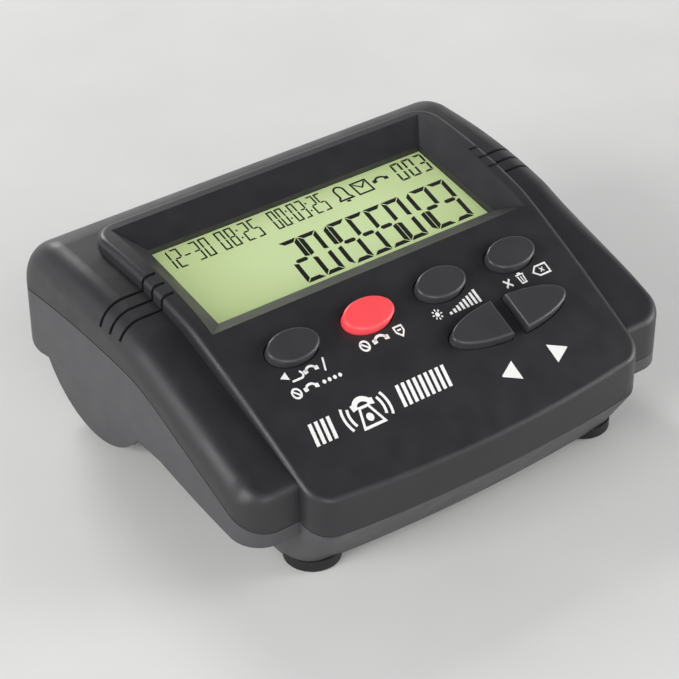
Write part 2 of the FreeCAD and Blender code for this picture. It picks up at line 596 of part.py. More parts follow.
# ---------------------------------------------------------------- line board, sockets and what stands on the board
# Components: x and y of the middle from the board's middle line, width, length, height.
CHIP = (-16.0, -6.0, 12.0, 12.0, 1.6)
RELAY = (27.0, 4.0, 10.0, 15.0, 8.0)
TRANSFORMER = (8.0, -4.5, 15.0, 13.0, 8.0)
RECTIFIER = (27.0, -12.0, 6.5, 5.0, 2.6)
CAN_XS, CAN_Y, CAN_R, CAN_H = (-31.0, -23.0), 6.0, 3.15, 8.0
ARRESTER_X, ARRESTER_Y, ARRESTER_R, ARRESTER_L = -33.0, 15.0, 3.0, 6.0
BOARD_Y1 = REAR_Y - LINE_BOARD_BACK
BOARD_Y0 = BOARD_Y1 - LINE_BOARD_LENGTH
BOARD_TOP = LINE_BOARD_Z + BOARD_T
LINE_POSTS = [(side * (LINE_BOARD_HALF - LINE_POST_IN), y) for side in (-1, 1)
              for y in (BOARD_Y0 + LINE_POST_IN, BOARD_Y1 - LINE_POST_IN)]
SOCKET_Y1 = REAR_Y - WALL - SOCKET_BACK
PLUG_Z = BOARD_TOP + PLUG_FLOOR


def plug_space(x, grow, y0, y1):
    """Opening for one telephone plug, with the latch's notch below it."""
    half = PLUG_W / 2 + grow
    main = box(x - half, x + half, y0, y1, PLUG_Z - grow, PLUG_Z + PLUG_H + grow)
    latch = box(x - LATCH_W / 2 - grow, x + LATCH_W / 2 + grow, y0, y1, PLUG_Z - LATCH_H - grow, PLUG_Z)
    return main.fuse(latch)


def make_socket(name, x):
    body = box(x - SOCKET_W / 2, x + SOCKET_W / 2, SOCKET_Y1 - SOCKET_D, SOCKET_Y1, BOARD_TOP, BOARD_TOP + SOCKET_H)
    save(name, body.cut(plug_space(x, 0.0, SOCKET_Y1 - PLUG_DEEP, SOCKET_Y1)))
    wires = []
    for number in range(CONTACTS):
        mid = x + (number - (CONTACTS - 1) / 2) * CONTACT_PITCH
        top, back = PLUG_Z + PLUG_H, SOCKET_Y1 - PLUG_DEEP
        tip, dip = back + CONTACT_RUN, top - CONTACT_DROP
        outline = [(back, top), (back, top - CONTACT_T), (tip, dip), (tip, dip + CONTACT_T),
                   (back + CONTACT_T, top)]
        wire = Part.Face(ring_wire([yz(*point) for point in outline]))
        wire.translate(V(mid - CONTACT_T / 2, 0, 0))
        wires.append(wire.extrude(V(CONTACT_T, 0, 0)))
    return wires


def line_board_parts():
    board = box(-LINE_BOARD_HALF, LINE_BOARD_HALF, BOARD_Y0, BOARD_Y1, LINE_BOARD_Z, BOARD_TOP)
    holes = [rod(x, y, SMALL_HOLE_R, LINE_BOARD_Z, BOARD_TOP) for x, y in LINE_POSTS]
    save("line_board", board.cut(fuse_all(holes)))
    mid_y = (BOARD_Y0 + BOARD_Y1) / 2
    items = (("controller_chip", CHIP), ("line_relay", RELAY), ("line_transformer", TRANSFORMER), ("rectifier", RECTIFIER))
    for name, (x, y, w, l, h) in items:
        y += mid_y
        save(name, box(x - w / 2, x + w / 2, y - l / 2, y + l / 2, BOARD_TOP, BOARD_TOP + h))
    cans = [rod(x, mid_y + CAN_Y, CAN_R, BOARD_TOP, BOARD_TOP + CAN_H) for x in CAN_XS]
    save("capacitors", Part.makeCompound(cans))
    arrester = Part.makeCylinder(ARRESTER_R, ARRESTER_L, V(ARRESTER_X, mid_y + ARRESTER_Y, BOARD_TOP + ARRESTER_R),
                                 V(1, 0, 0))
    save("surge_arrester", arrester)
    wires = make_socket("line_socket", -SOCKET_X) + make_socket("phone_socket", SOCKET_X)
    save("socket_contacts", Part.makeCompound(wires))
    level = FreeCAD.Placement()
    return [on_plane(plane_screw(x, y, BOARD_TOP, -1), level) for x, y in LINE_POSTS]


# ---------------------------------------------------------------- flat cables between the boards
HEADER_W, HEADER_L, HEADER_H = 15.0, 4.0, 3.0
CABLE_W, CABLE_T = 12.0, 0.8
CABLE_OUT = 0.5             # cable end to the header's face
CABLE_SAG, CABLE_BOW = 0.45, 1.0        # key cable's sag as a share of its span; line cable's bow
HEADER_IN = 1.0             # front display header to the window's front edge


def flat_cable(start, bulge, end):
    """Flat cable bent along one arc in the side view."""
    circle = Part.Circle(yz(*start), yz(*bulge), yz(*end))
    grow = lambda point, by: circle.Center + (point - circle.Center) * ((circle.Radius + by) / circle.Radius)
    a, m, b = yz(*start), yz(*bulge), yz(*end)
    out, inn = CABLE_T / 2, -CABLE_T / 2
    edges = [Part.Arc(grow(a, out), grow(m, out), grow(b, out)).toShape(),
             Part.LineSegment(grow(b, out), grow(b, inn)).toShape(),
             Part.Arc(grow(b, inn), grow(m, inn), grow(a, inn)).toShape(),
             Part.LineSegment(grow(a, inn), grow(a, out)).toShape()]
    face = Part.Face(Part.Wire(edges))
    face.translate(V(-CABLE_W / 2, 0, 0))
    return face.extrude(V(CABLE_W, 0, 0))


def cable_parts():
    """Headers under the key and display boards and on the line board, joined by two flat cables."""
    half, reach = HEADER_W / 2, HEADER_H - CABLE_OUT
    key_low, key_v = N_BOARD - BOARD_T, KEY_BOARD_V1 - HEADER_L
    glass_low, front_s, mid_s = W_BOARD - BOARD_T, HEADER_IN, WINDOW_LENGTH / 2 - DOME_R - HEADER_L
    line_y = WINDOW_PLANE.multVec(V(0, mid_s, 0)).y
    key_header = on_plane(box(-half, half, key_v, key_v + HEADER_L, key_low - HEADER_H, key_low), KEY_PLANE)
    headers = [box(-half, half, s, s + HEADER_L, glass_low - HEADER_H, glass_low) for s in (front_s, mid_s)]
    line_header = box(-half, half, line_y, line_y + HEADER_L, BOARD_TOP, BOARD_TOP + HEADER_H)
    save("key_header", key_header)
    save("display_headers", on_plane(Part.makeCompound(headers), WINDOW_PLANE))
    save("line_header", line_header)
    start = KEY_PLANE.multVec(V(0, key_v + HEADER_L / 2, key_low - reach))
    end = WINDOW_PLANE.multVec(V(0, front_s + HEADER_L / 2, glass_low - reach))
    lowest = ((start.y + end.y) / 2, min(start.z, end.z) - CABLE_SAG * (end.y - start.y))
    save("key_cable", flat_cable((start.y, start.z), lowest, (end.y, end.z)))
    low = (line_y + HEADER_L / 2, BOARD_TOP + reach)
    high = WINDOW_PLANE.multVec(V(0, mid_s + HEADER_L / 2, glass_low - reach))
    bow = ((low[0] + high.y) / 2 + CABLE_BOW, (low[1] + high.z) / 2)
    save("line_cable", flat_cable(low, bow, (high.y, high.z)))


# ---------------------------------------------------------------- case screws, feet, plate
SCREWS = [(side * (HALF - REAR_SCREW[0]), REAR_Y - REAR_SCREW[1]) + REAR_SCREW[2:] for side in (-1, 1)]
SCREWS += [(side * (HALF - FRONT_SCREW[0]), FRONT_Y + FRONT_SCREW[1]) + FRONT_SCREW[2:] for side in (-1, 1)]


def case_screw(x, y, seat):
    head = rod(x, y, CASE_HEAD_R, seat - CASE_HEAD_H, seat)
    arm, floor = CASE_HEAD_R - CASE_SLOT_IN, seat - CASE_HEAD_H
    cross = box(x - arm, x + arm, y - SLOT_W / 2, y + SLOT_W / 2, floor, floor + SLOT_DEEP)
    cross = cross.fuse(box(x - SLOT_W / 2, x + SLOT_W / 2, y - arm, y + arm, floor, floor + SLOT_DEEP))
    return head.fuse(rod(x, y, CASE_R, seat, seat + CASE_L)).cut(cross)


def foot_spots():
    """Name, centre and height of each rubber foot."""
    front_y, rear_y = FRONT_Y + FOOT_FRONT, REAR_Y - FOOT_BACK
    return [("foot_front_left", -FOOT_X, front_y, POD_LIFT + FOOT_SEAT),
            ("foot_front_right", FOOT_X, front_y, POD_LIFT + FOOT_SEAT),
            ("foot_rear_left", -FOOT_X, rear_y, REAR_FOOT_H),
            ("foot_rear_right", FOOT_X, rear_y, REAR_FOOT_H)]


def foot_parts():
    for name, x, y, height in foot_spots():
        foot = rod(x, y, FOOT_R, 0.0, height)
        lowest = [edge for edge in foot.Edges if edge.BoundBox.ZMax < 1e-6]
        save(name, foot.makeFillet(FOOT_EDGE_R, lowest))


LABEL_Y0 = WING_FRONT_Y + LABEL_BACK
LABEL = (-LABEL_W / 2, LABEL_W / 2, LABEL_Y0, LABEL_Y0 + LABEL_L)


# ---------------------------------------------------------------- covers
def grooves():
    """Slots across both wings and over the console's edges."""
    slots = []
    for number in range(GROOVES):
        y = REAR_Y - GROOVE_BACK - number * GROOVE_PITCH
        slot = box(HALF - GROOVE_IN, HALF + 1, y - GROOVE_W / 2, y + GROOVE_W / 2, HEIGHT - GROOVE_DOWN, TALL)
        slots += both_sides(slot)
    return fuse_all(slots)


def top_cover(outer, inner):
    """Shell above the seam with the hollow's walls, screw posts and key openings."""
    shell = outer.cut(inner).common(seam_form())
    hollow = hollow_form(0.0)
    inside = [hollow_form(HOLLOW_WALL)]
    inside += [rod(x, y, CASE_POST_R, joint, TALL) for x, y, seat, joint in SCREWS]
    inside += [on_plane(rod(u, v, POST_R, N_BOARD, 0.0), KEY_PLANE) for u, v in KEY_POSTS]
    inside += [on_plane(rod(u, s, DISPLAY_POST_R, W_BOARD, TALL), WINDOW_PLANE) for u, s in DISPLAY_POSTS]
    cover = fuse_all([shell] + [piece.common(outer) for piece in inside])
    cuts = [hollow, outer.cut(case_form(GROOVE_DEEP)).common(grooves())]
    cuts += [rod(x, y, CASE_R, joint, seat + CASE_L + THREAD_SPARE) for x, y, seat, joint in SCREWS]
    reach = SMALL_L - BOARD_T + THREAD_SPARE
    cuts += [on_plane(rod(u, v, SMALL_R, N_BOARD, N_BOARD + reach), KEY_PLANE) for u, v in KEY_POSTS]
    cuts += [on_plane(rod(u, s, SMALL_R, W_BOARD, W_BOARD + reach), WINDOW_PLANE) for u, s in DISPLAY_POSTS]
    cuts += [on_plane(key_blank(name, FIT, N_FLANGE, KEY_PROUD), KEY_PLANE)
             for name in list(OVAL_KEYS) + list(ARROW_KEYS)]
    for cut in cuts:
        cover = cover.cut(cut)
    return cover


def bottom_cover(outer, inner):
    """Shell below the seam with screw pockets, board posts, socket openings and foot seats."""
    shell = outer.cut(inner).cut(seam_form(SEAM))
    pockets = [rod(x, y, CASE_POCKET_R + CASE_POCKET_W, BELOW, joint) for x, y, seat, joint in SCREWS]
    posts = [rod(x, y, POST_R, BELOW, LINE_BOARD_Z) for x, y in LINE_POSTS]
    cover = fuse_all([shell] + [piece.common(outer) for piece in pockets + posts])
    cuts = [rod(x, y, CASE_POCKET_R, BELOW, seat) for x, y, seat, joint in SCREWS]
    cuts += [rod(x, y, CASE_HOLE_R, BELOW, joint) for x, y, seat, joint in SCREWS]
    reach = SMALL_L - BOARD_T + THREAD_SPARE
    cuts += [rod(x, y, SMALL_R, LINE_BOARD_Z - reach, LINE_BOARD_Z) for x, y in LINE_POSTS]
    cuts += [plug_space(side * SOCKET_X, FIT, SOCKET_Y1, REAR_Y + 1) for side in (-1, 1)]
    cuts += [rod(x, y, FOOT_R + FIT, BELOW, height) for name, x, y, height in foot_spots()]
    for cut in cuts:
        cover = cover.cut(cut)
    return cover


def save(name, shape):
    shape.exportStep("parts/" + name + ".step")


def main():
    os.makedirs("parts", exist_ok=True)
    outer, inner = case_form(0.0), case_form(WALL)
    save("top_cover", top_cover(outer, inner))
    save("bottom_cover", bottom_cover(outer, inner))
    for name in list(OVAL_KEYS) + list(ARROW_KEYS):
        make_key(name)
    small_screws = key_board_parts() + display_parts() + line_board_parts()
    save("board_screws", Part.makeCompound(small_screws))
    save("case_screws", Part.makeCompound([case_screw(x, y, seat) for x, y, seat, joint in SCREWS]))
    cable_parts()
    foot_parts()
    save("rating_plate", box(*LABEL, ARCH_Z - LABEL_T, ARCH_Z))


main()
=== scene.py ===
"""Desk-top telephone call blocker: finishes, signs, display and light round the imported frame.
Metres, +X to the user's right, +Y to the back, +Z up. Sizes named _MM are millimetres."""

import json
import math

import bpy
import numpy as np
from mathutils import Matrix, Vector
from mathutils.bvhtree import BVHTree


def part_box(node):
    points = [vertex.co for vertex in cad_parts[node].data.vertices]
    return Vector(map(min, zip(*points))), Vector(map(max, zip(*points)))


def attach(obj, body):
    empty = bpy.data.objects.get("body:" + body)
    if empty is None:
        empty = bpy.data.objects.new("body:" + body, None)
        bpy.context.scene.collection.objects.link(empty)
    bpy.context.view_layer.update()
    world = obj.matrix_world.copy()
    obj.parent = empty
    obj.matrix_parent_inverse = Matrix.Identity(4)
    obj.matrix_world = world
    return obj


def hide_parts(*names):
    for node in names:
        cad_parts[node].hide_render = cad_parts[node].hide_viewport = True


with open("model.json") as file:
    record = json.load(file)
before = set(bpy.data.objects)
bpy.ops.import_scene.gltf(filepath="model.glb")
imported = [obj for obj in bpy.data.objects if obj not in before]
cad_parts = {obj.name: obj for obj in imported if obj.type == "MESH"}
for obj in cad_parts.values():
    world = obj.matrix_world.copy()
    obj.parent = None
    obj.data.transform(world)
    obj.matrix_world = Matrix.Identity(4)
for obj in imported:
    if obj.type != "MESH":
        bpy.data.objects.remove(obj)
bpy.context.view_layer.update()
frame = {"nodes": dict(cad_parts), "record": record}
nodes = frame["nodes"]
MM = 0.001


# ---------------------------------------------------------------- colour and node helpers
def linear(hex_colour):
    """sRGB hex to a linear colour with alpha 1: (c / 12.92) below 0.04045, else ((c + 0.055) / 1.055) ^ 2.4."""
    parts = [int(hex_colour[i:i + 2], 16) / 255 for i in (1, 3, 5)]
    return tuple(c / 12.92 if c <= 0.04045 else ((c + 0.055) / 1.055) ** 2.4 for c in parts) + (1.0,)


def add(tree, kind, inputs=(), **settings):
    """Adds a shader node: settings go on the node, inputs onto its sockets as values or as links."""
    node = tree.nodes.new("ShaderNode" + kind)
    for name, value in settings.items():
        setattr(node, name, value)
    for name, value in dict(inputs).items():
        if isinstance(value, bpy.types.NodeSocket):
            tree.links.new(value, node.inputs[name])
        else:
            node.inputs[name].default_value = value
    return node


def finish(name, colour, rough, ior=1.46, metallic=0.0, **sockets):
    """A new material with one Principled shader on its output; returns the material and that shader."""
    made = bpy.data.materials.new(name)
    made.use_nodes = True
    tree = made.node_tree
    tree.nodes.clear()
    shader = add(tree, "BsdfPrincipled", {"Base Color": linear(colour), "Roughness": rough,
                                          "IOR": ior, "Metallic": metallic})
    for socket, value in sockets.items():
        shader.inputs[socket.replace("_", " ")].default_value = value
    add(tree, "OutputMaterial", {"Surface": shader.outputs[0]})
    return made, shader


def place(tree, centre=(0, 0, 0), turn=(0, 0, 0), scale=(1, 1, 1)):
    """Object coordinates taken from a centre, turned and scaled."""
    here = add(tree, "TexCoord").outputs["Object"]
    moved = add(tree, "Mapping", {"Vector": here, "Location": [-c for c in centre]})
    return add(tree, "Mapping", {"Vector": moved.outputs[0], "Rotation": turn, "Scale": scale}).outputs[0]


def grain(made, shader, size_mm, depth_mm, detail=2.0):
    """Bump from noise whose cells are size_mm across and depth_mm deep."""
    tree = made.node_tree
    noise = add(tree, "TexNoise", {"Vector": place(tree), "Scale": 1 / (size_mm * MM), "Detail": detail})
    bump = add(tree, "Bump", {"Height": noise.outputs["Fac"], "Distance": depth_mm * MM, "Strength": 1.0})
    tree.links.new(bump.outputs[0], shader.inputs["Normal"])
    return noise


def mottle(made, shader, low, high, size_mm, spread=(0.3, 0.7), stretch=(1, 1, 1)):
    """Colour that drifts between two shades over size_mm."""
    tree = made.node_tree
    noise = add(tree, "TexNoise", {"Vector": place(tree, scale=stretch), "Scale": 1 / (size_mm * MM), "Detail": 3.0})
    ramp = add(tree, "ValToRGB", {"Fac": noise.outputs["Fac"]})
    for stop, where, shade in zip(ramp.color_ramp.elements, spread, (low, high)):
        stop.position, stop.color = where, linear(shade)
    tree.links.new(ramp.outputs[0], shader.inputs["Base Color"])
    return ramp


def rough_drift(made, shader, low, high, size_mm):
    """Roughness that drifts between low and high over size_mm, as handling and moulding leave it."""
    tree = made.node_tree
    noise = add(tree, "TexNoise", {"Vector": place(tree), "Scale": 1 / (size_mm * MM), "Detail": 2.0})
    span = add(tree, "MapRange", {"Value": noise.outputs["Fac"], "From Min": 0.3, "From Max": 0.7,
                                  "To Min": low, "To Max": high})
    tree.links.new(span.outputs[0], shader.inputs["Roughness"])


def moulded(name, low, high, rough, grain_mm, depth_mm, drift=0.06, **sockets):
    """An injection-moulded part: drifting shade and gloss over a spark-eroded grain."""
    made, shader = finish(name, low, rough, **sockets)
    mottle(made, shader, low, high, 9.0)
    rough_drift(made, shader, rough - drift, rough + drift, 6.0)
    grain(made, shader, grain_mm, depth_mm)
    return made


# ---------------------------------------------------------------- materials
# ABS, black, moulded in a spark-eroded tool: an even satin skin, the grain just visible where light grazes it.
# Real grain is about 0.1 mm; it is drawn at 0.3 mm so that it shows.
satin_black_abs = moulded("satin_black_abs", "#272729", "#2A2A2C", 0.42, 0.3, 0.006, Specular_IOR_Level=0.5)
# ABS of the lower cover, the same resin from a coarser tool: a lighter grey than the top cover, its shade drifting at
# random.
grained_grey_abs = moulded("grained_grey_abs", "#434244", "#474648", 0.5, 0.35, 0.008)
# Cast ABS key, coloured red in the mass and tumbled: a soft glow with a blurred highlight on the rim.
red_key_abs = moulded("red_key_abs", "#FD5157", "#FF575D", 0.36, 0.5, 0.002, 0.03,
                      Subsurface_Weight=0.12, Subsurface_Scale=0.0015, Subsurface_Radius=(1.0, 0.25, 0.15))
# The same key in black: a clean skin a shade glossier than the cover round it.
black_key_abs = moulded("black_key_abs", "#373739", "#3B3B3D", 0.36, 0.5, 0.002, 0.04)
# Silicone rubber, pressed: grey, matt and slightly see-through at its edges.
pressed_silicone = moulded("pressed_silicone", "#8D8F91", "#96989A", 0.6, 0.4, 0.004, Subsurface_Weight=0.1,
                           Subsurface_Scale=0.001)
# Carbon-filled silicone pill: dead matt black.
carbon_rubber = moulded("carbon_rubber", "#111111", "#191919", 0.85, 0.15, 0.01)
# Nitrile rubber foot, moulded: dull black with a dusty bloom.
nitrile_rubber = moulded("nitrile_rubber", "#121212", "#1B1B1B", 0.78, 0.45, 0.02, 0.08)
# Polyethylene foam gasket: open black cells about 0.3 mm wide.
closed_cell_foam = moulded("closed_cell_foam", "#0C0C0C", "#161616", 0.9, 0.3, 0.06)
# Zebra strip: layers of carbon and white silicone, 0.1 mm apart; drawn 0.4 mm apart so that they show.
zebra_elastomer, zebra_shader = finish("zebra_elastomer", "#777777", 0.6)
zebra_wave = add(zebra_elastomer.node_tree, "TexWave",
                 {"Vector": place(zebra_elastomer.node_tree), "Scale": 0.32 / (0.4 * MM), "Distortion": 0.0})
zebra_ramp = add(zebra_elastomer.node_tree, "ValToRGB", {"Fac": zebra_wave.outputs["Fac"]})
zebra_ramp.color_ramp.elements[0].color = linear("#151515")
zebra_ramp.color_ramp.elements[1].color = linear("#C9C7C2")
zebra_elastomer.node_tree.links.new(zebra_ramp.outputs[0], zebra_shader.inputs["Base Color"])
# ABS of the inner frame and sockets: plain matt black, unpolished.
matt_black_abs = moulded("matt_black_abs", "#161617", "#1D1D1E", 0.6, 0.25, 0.01)
# Glass-epoxy board under solder mask: green, glossy, with the weave of the cloth (0.5 mm) faintly raised.
solder_mask, mask_shader = finish("solder_mask", "#0F5A30", 0.28, Coat_Weight=0.4, Coat_Roughness=0.15)
mottle(solder_mask, mask_shader, "#0B4A27", "#17703B", 2.5)
weave = add(solder_mask.node_tree, "TexWave", {"Vector": place(solder_mask.node_tree), "Scale": 0.32 / (0.5 * MM),
                                               "Distortion": 1.0})
weave_bump = add(solder_mask.node_tree, "Bump", {"Height": weave.outputs["Fac"], "Distance": 0.01 * MM})
solder_mask.node_tree.links.new(weave_bump.outputs[0], mask_shader.inputs["Normal"])
# Epoxy moulding compound of a chip: charcoal, sand-blasted.
chip_epoxy = moulded("chip_epoxy", "#1E1F22", "#2A2B2F", 0.55, 0.12, 0.006)
# Nylon of connectors: milky off-white, satin.
connector_nylon = moulded("connector_nylon", "#DAD5C6", "#E6E2D6", 0.4, 0.3, 0.004, Subsurface_Weight=0.15,
                          Subsurface_Scale=0.001)
# Gold-flashed spring wire: warm, polished, drawn along its length.
gold_flash, gold_shader = finish("gold_flash", "#E8BE62", 0.22, metallic=1.0)
mottle(gold_flash, gold_shader, "#DDB052", "#F0CB78", 0.8, stretch=(1, 0.2, 1))
grain(gold_flash, gold_shader, 0.1, 0.001)
# PVC ribbon cable: soft grey with a ridge over each core, 1.0 mm apart.
pvc_ribbon = moulded("pvc_ribbon", "#86878B", "#909196", 0.45, 0.8, 0.02)
# Polyester tape round the transformer: amber yellow, smooth and half glossy.
polyester_tape = moulded("polyester_tape", "#C79A1E", "#D8AC2C", 0.25, 1.5, 0.01, 0.05)
# PVC sleeve of a capacitor: dark blue, shrunk on, glossy.
shrunk_sleeve = moulded("shrunk_sleeve", "#10193A", "#1A2650", 0.22, 1.2, 0.008, 0.04)
# Glazed ceramic of the surge arrester.
glazed_ceramic = moulded("glazed_ceramic", "#D9CFB4", "#E6DDC6", 0.15, 1.0, 0.002, 0.03)
# Zinc-plated steel screw: bluish grey, turned, with fine rings.
zinc_plate, zinc_shader = finish("zinc_plate", "#B4B7BC", 0.3, metallic=1.0)
mottle(zinc_plate, zinc_shader, "#A3A7AD", "#C4C7CB", 1.2)
rough_drift(zinc_plate, zinc_shader, 0.22, 0.42, 0.7)
grain(zinc_plate, zinc_shader, 0.2, 0.003)
# Matt silver polyester plate, left blank: faint brushing along its length, lines 0.3 mm apart.
silver_polyester, plate_shader = finish("silver_polyester", "#B9BBBE", 0.42, metallic=0.6)
mottle(silver_polyester, plate_shader, "#AEB0B3", "#C3C5C8", 0.3, stretch=(0.03, 1, 1))
# Aluminised reflector film: bright, slightly crinkled.
aluminised_film, film_shader = finish("aluminised_film", "#D6D9DC", 0.2, metallic=1.0)
mottle(aluminised_film, film_shader, "#C9CCCF", "#E2E5E7", 3.0)
grain(aluminised_film, film_shader, 4.0, 0.02)
# Screen-print ink: opaque white, a thin raised film with a slightly ragged gloss.
screen_ink = moulded("screen_ink", "#F0F0EE", "#FAFAF8", 0.5, 0.2, 0.002)
# Switched liquid crystal behind its polariser: near black with a breath of green.
dark_crystal = moulded("dark_crystal", "#050604", "#080A06", 0.5, 0.5, 0.001, Specular_IOR_Level=0.02)


def display_slope():
    """Tilt of the display's upper face, then the glass's near and far edge along that slope and the height of its upper
    face out of it, in mm, from the CAD glass.
    """
    mesh = nodes["display_glass"].data
    count = len(mesh.polygons)
    area, normal = np.empty(count), np.empty(count * 3)
    mesh.polygons.foreach_get("area", area)
    mesh.polygons.foreach_get("normal", normal)
    normal = normal.reshape(-1, 3)
    up = normal[np.argmax(area * (normal[:, 2] > 0.5))]
    tilt = math.atan2(-up[1], up[2])
    points = np.empty(len(mesh.vertices) * 3)
    mesh.vertices.foreach_get("co", points)
    points = points.reshape(-1, 3)
    along = points[:, 1] * math.cos(tilt) + points[:, 2] * math.sin(tilt)
    out = -points[:, 1] * math.sin(tilt) + points[:, 2] * math.cos(tilt)
    return tilt, along.min() / MM, along.max() / MM, out.max() / MM


TILT, GLASS_NEAR_MM, GLASS_FAR_MM, GLASS_OUT_MM = display_slope()
GLASS_HALF_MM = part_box("display_glass")[1].x / MM
GLASS_LENGTH_MM = GLASS_FAR_MM - GLASS_NEAR_MM
GLASS_T_MM = 2.0            # thickness of the glass
SHIFT = 0.5                 # how far the glass runs under the cover on each side
FACE = 1.25                  # lit field above the glass's own face, just under the floor of the hollow
OPENING_HALF, OPENING_LENGTH = GLASS_HALF_MM - SHIFT, GLASS_LENGTH_MM - 2 * SHIFT


def on_glass(x, s, lift):
    """Point on the display: x across, s up its slope from the glass's near edge, lift out of its face, all mm."""
    along, out = s + GLASS_NEAR_MM, lift + GLASS_OUT_MM
    return np.stack([x, along * math.cos(TILT) - out * math.sin(TILT),
                     along * math.sin(TILT) + out * math.cos(TILT)], -1) * MM


# Twisted-nematic display with a green backlight: lit evenly, a little darker towards its edges.
lit_crystal, lit_shader = finish("lit_crystal", "#BECF9B", 0.35, Coat_Weight=0.2, Coat_Roughness=0.1)
lit_tree = lit_crystal.node_tree
lit_middle = on_glass(np.zeros(1), np.array([GLASS_LENGTH_MM / 2]), np.zeros(1))[0]
lit_glow = add(lit_tree, "TexGradient", {"Vector": place(lit_tree, lit_middle, (-TILT, 0, 0), (18, 36, 18))},
               gradient_type="QUADRATIC_SPHERE")
lit_ramp = add(lit_tree, "ValToRGB", {"Fac": lit_glow.outputs["Fac"]})
lit_ramp.color_ramp.elements[0].color = linear("#B9C692")
lit_ramp.color_ramp.elements[1].color = linear("#C4D0A6")
lit_ramp.color_ramp.elements[1].position = 0.45
lit_tree.links.new(lit_ramp.outputs[0], lit_shader.inputs["Base Color"])
lit_tree.links.new(lit_ramp.outputs[0], lit_shader.inputs["Emission Color"])
lit_shader.inputs["Emission Strength"].default_value = 0.47

# Polycarbonate window, hard-coated: clear, with a soft reflection that grows at grazing angles.
hard_coat = bpy.data.materials.new("clear_polycarbonate")
hard_coat.use_nodes = True
coat_tree = hard_coat.node_tree
coat_tree.nodes.clear()
coat_noise = add(coat_tree, "TexNoise", {"Vector": place(coat_tree), "Scale": 1 / (5 * MM)})
coat_rough = add(coat_tree, "MapRange", {"Value": coat_noise.outputs["Fac"], "To Min": 0.06, "To Max": 0.12})
clear = add(coat_tree, "BsdfTransparent", {"Color": linear("#FBFDF8")})
gloss = add(coat_tree, "BsdfGlossy", {"Color": linear("#FFFFFF"), "Roughness": coat_rough.outputs[0]})
share = add(coat_tree, "Fresnel", {"IOR": 1.45})
faint = add(coat_tree, "Math", {0: share.outputs[0], 1: 0.12}, operation="MULTIPLY")
mixed = add(coat_tree, "MixShader", {0: faint.outputs[0], 1: clear.outputs[0], 2: gloss.outputs[0]})
add(coat_tree, "OutputMaterial", {"Surface": mixed.outputs[0]})

SLOT_FINISH = {
    "top_cover_plastic": satin_black_abs, "bottom_cover_plastic": grained_grey_abs, "red_key": red_key_abs,
    "black_key": black_key_abs, "grey_silicone": pressed_silicone, "carbon_pill": carbon_rubber,
    "foot_rubber": nitrile_rubber, "clear_window": hard_coat, "display_glass": lit_crystal,
    "reflector_film": aluminised_film, "black_foam": closed_cell_foam, "elastomer": zebra_elastomer,
    "black_plastic": matt_black_abs, "board_laminate": solder_mask, "chip_resin": chip_epoxy,
    "white_plastic": connector_nylon, "gold_contacts": gold_flash, "grey_cable": pvc_ribbon,
    "transformer_tape": polyester_tape, "capacitor_sleeve": shrunk_sleeve, "ceramic": glazed_ceramic,
    "zinc_steel": zinc_plate, "blank_plate": silver_polyester}
for part in frame["record"]["subparts"]:
    shown = nodes[part["node"]]
    shown.data.materials.clear()
    shown.data.materials.append(SLOT_FINISH[part["material_slot"]])


# ---------------------------------------------------------------- flat signs
def strip(left, right, closed=False):
    """Flat band between two equal lines of points (mm), as quads: (points, quads)."""
    left, right = np.asarray(left, float), np.asarray(right, float)
    count = len(left)
    here = np.arange(count if closed else count - 1)
    after = (here + 1) % count
    return np.concatenate([left, right]), np.stack([here, after, after + count, here + count], 1)


def stroke(points, width, closed=False):
    """Band of even width round a line of points: each point is moved along its mitre, width / 2 / cos(half turn)."""
    line = np.asarray(points, float)
    if closed:
        ahead, behind = np.roll(line, -1, 0) - line, line - np.roll(line, 1, 0)
    else:
        steps = np.diff(line, axis=0)
        ahead, behind = np.concatenate([steps, steps[-1:]]), np.concatenate([steps[:1], steps])
    unit = [v / np.linalg.norm(v, axis=1, keepdims=True) for v in (ahead, behind)]
    side = [np.stack([-v[:, 1], v[:, 0]], 1) for v in unit]
    mitre = side[0] + side[1]
    mitre /= np.linalg.norm(mitre, axis=1, keepdims=True)
    reach = width / 2 / np.maximum((mitre * side[0]).sum(1, keepdims=True), 0.5)
    return strip(line + mitre * reach, line - mitre * reach, closed)


def arc(x, y, radius, start, end, steps=14):
    """Points of an arc, angles in degrees, counted from +x."""
    turn = np.radians(np.linspace(start, end, steps))
    return np.stack([x + radius * np.cos(turn), y + radius * np.sin(turn)], 1)


def ring(x, y, radius, width):
    return stroke(arc(x, y, radius, 0, 360, 29)[:-1], width, True)


def disc(x, y, radius):
    """Upper and lower half of a circle, joined across."""
    return strip(arc(x, y, radius, 176, 4), arc(x, y, radius, 184, 356))


def plate(x0, x1, y0, y1, steps=2):
    """Rectangle cut into steps across its height, so that it can follow a crown."""
    rise = np.linspace(y0, y1, steps)
    return strip(np.stack([np.full(steps, x0), rise], 1), np.stack([np.full(steps, x1), rise], 1))


def wedge(x_edge, x_tip, y, half):
    """Triangle from an upright edge to a tip."""
    return strip([(x_edge, y + half), (x_tip, y + half * 0.04)], [(x_edge, y - half), (x_tip, y - half * 0.04)])


def moved(bands, x=0.0, y=0.0, scale=1.0, lean=0.0):
    """Bands scaled about 0, leaned by lean per mm of height, then moved."""
    return [(np.stack([(p[:, 0] + lean * p[:, 1]) * scale + x, p[:, 1] * scale + y], 1), q) for p, q in bands]


